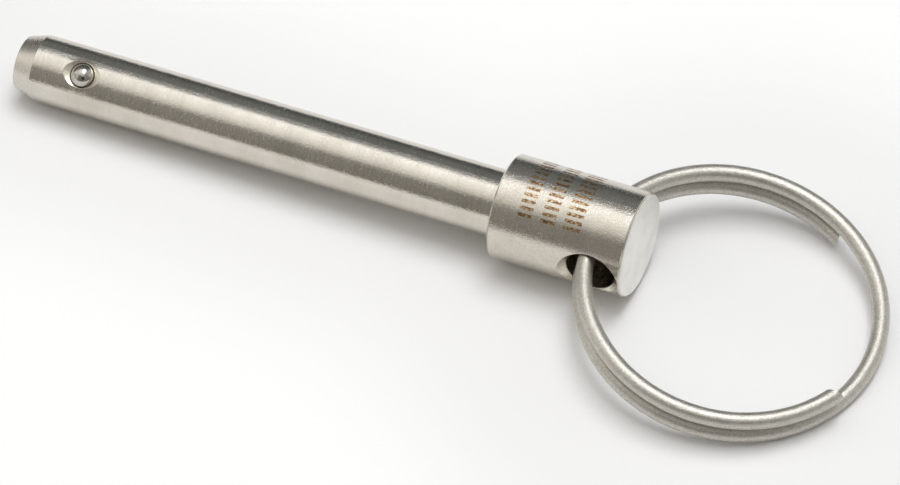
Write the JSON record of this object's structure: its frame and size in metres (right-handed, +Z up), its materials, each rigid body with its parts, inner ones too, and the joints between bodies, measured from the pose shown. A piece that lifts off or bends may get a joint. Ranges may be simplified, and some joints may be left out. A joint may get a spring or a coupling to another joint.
{
  "type": "quick release pin",
  "caption": "Detent quick release pin: ground shank with spring-loaded locking balls near a tapered tip, pressed into a cylindrical head with a split ring through its cross hole.",
  "frame": {"origin": "centre of the head's shoulder face, on the pin's axis", "axes": "+Z up from the surface the pin lies on; the pin's axis lies in the XZ plane, head towards +X, tip towards -X and dipping 2.19 degrees; -Y faces the side where the front ball and the front mouth of the ring's hole show"},
  "size_m": [0.1289, 0.0439, 0.0156],
  "materials": {
    "ground_steel": "centreless ground stainless steel",
    "turned_steel": "fine turned and tumbled stainless steel, satin",
    "ball_steel": "polished bearing ball",
    "spring_steel": "drawn spring wire",
    "wire_steel": "drawn and tumbled stainless wire"
  },
  "bodies": {
    "pin": {"shank": "ground_steel", "head": "turned_steel", "detent_spring": "spring_steel"},
    "front_ball": {"detent_ball_front": "ball_steel"},
    "back_ball": {"detent_ball_back": "ball_steel"},
    "ring": {"split_ring": "wire_steel"}
  },
  "joints": [
    {"name": "front_ball_press", "type": "slide", "parent": "pin", "child": "front_ball", "axis": [0.0329, 0.509, -0.8601], "range_m": [0, 0.00072], "stiffness_N_per_m": 2000, "springref_m": -0.0015, "deforming": ["detent_spring"]},
    {"name": "back_ball_press", "type": "slide", "parent": "pin", "child": "back_ball", "axis": [-0.0329, -0.509, 0.8601], "range_m": [0, 0.00072], "stiffness_N_per_m": 2000, "springref_m": -0.0015, "deforming": ["detent_spring"]},
    {"name": "ring_swing", "type": "hinge", "parent": "pin", "child": "ring", "pos_m": [0.01496, 0, 0.00057], "axis": [0.0025, -0.9979, -0.0654], "range_deg": [-158, 181]}
  ]
}
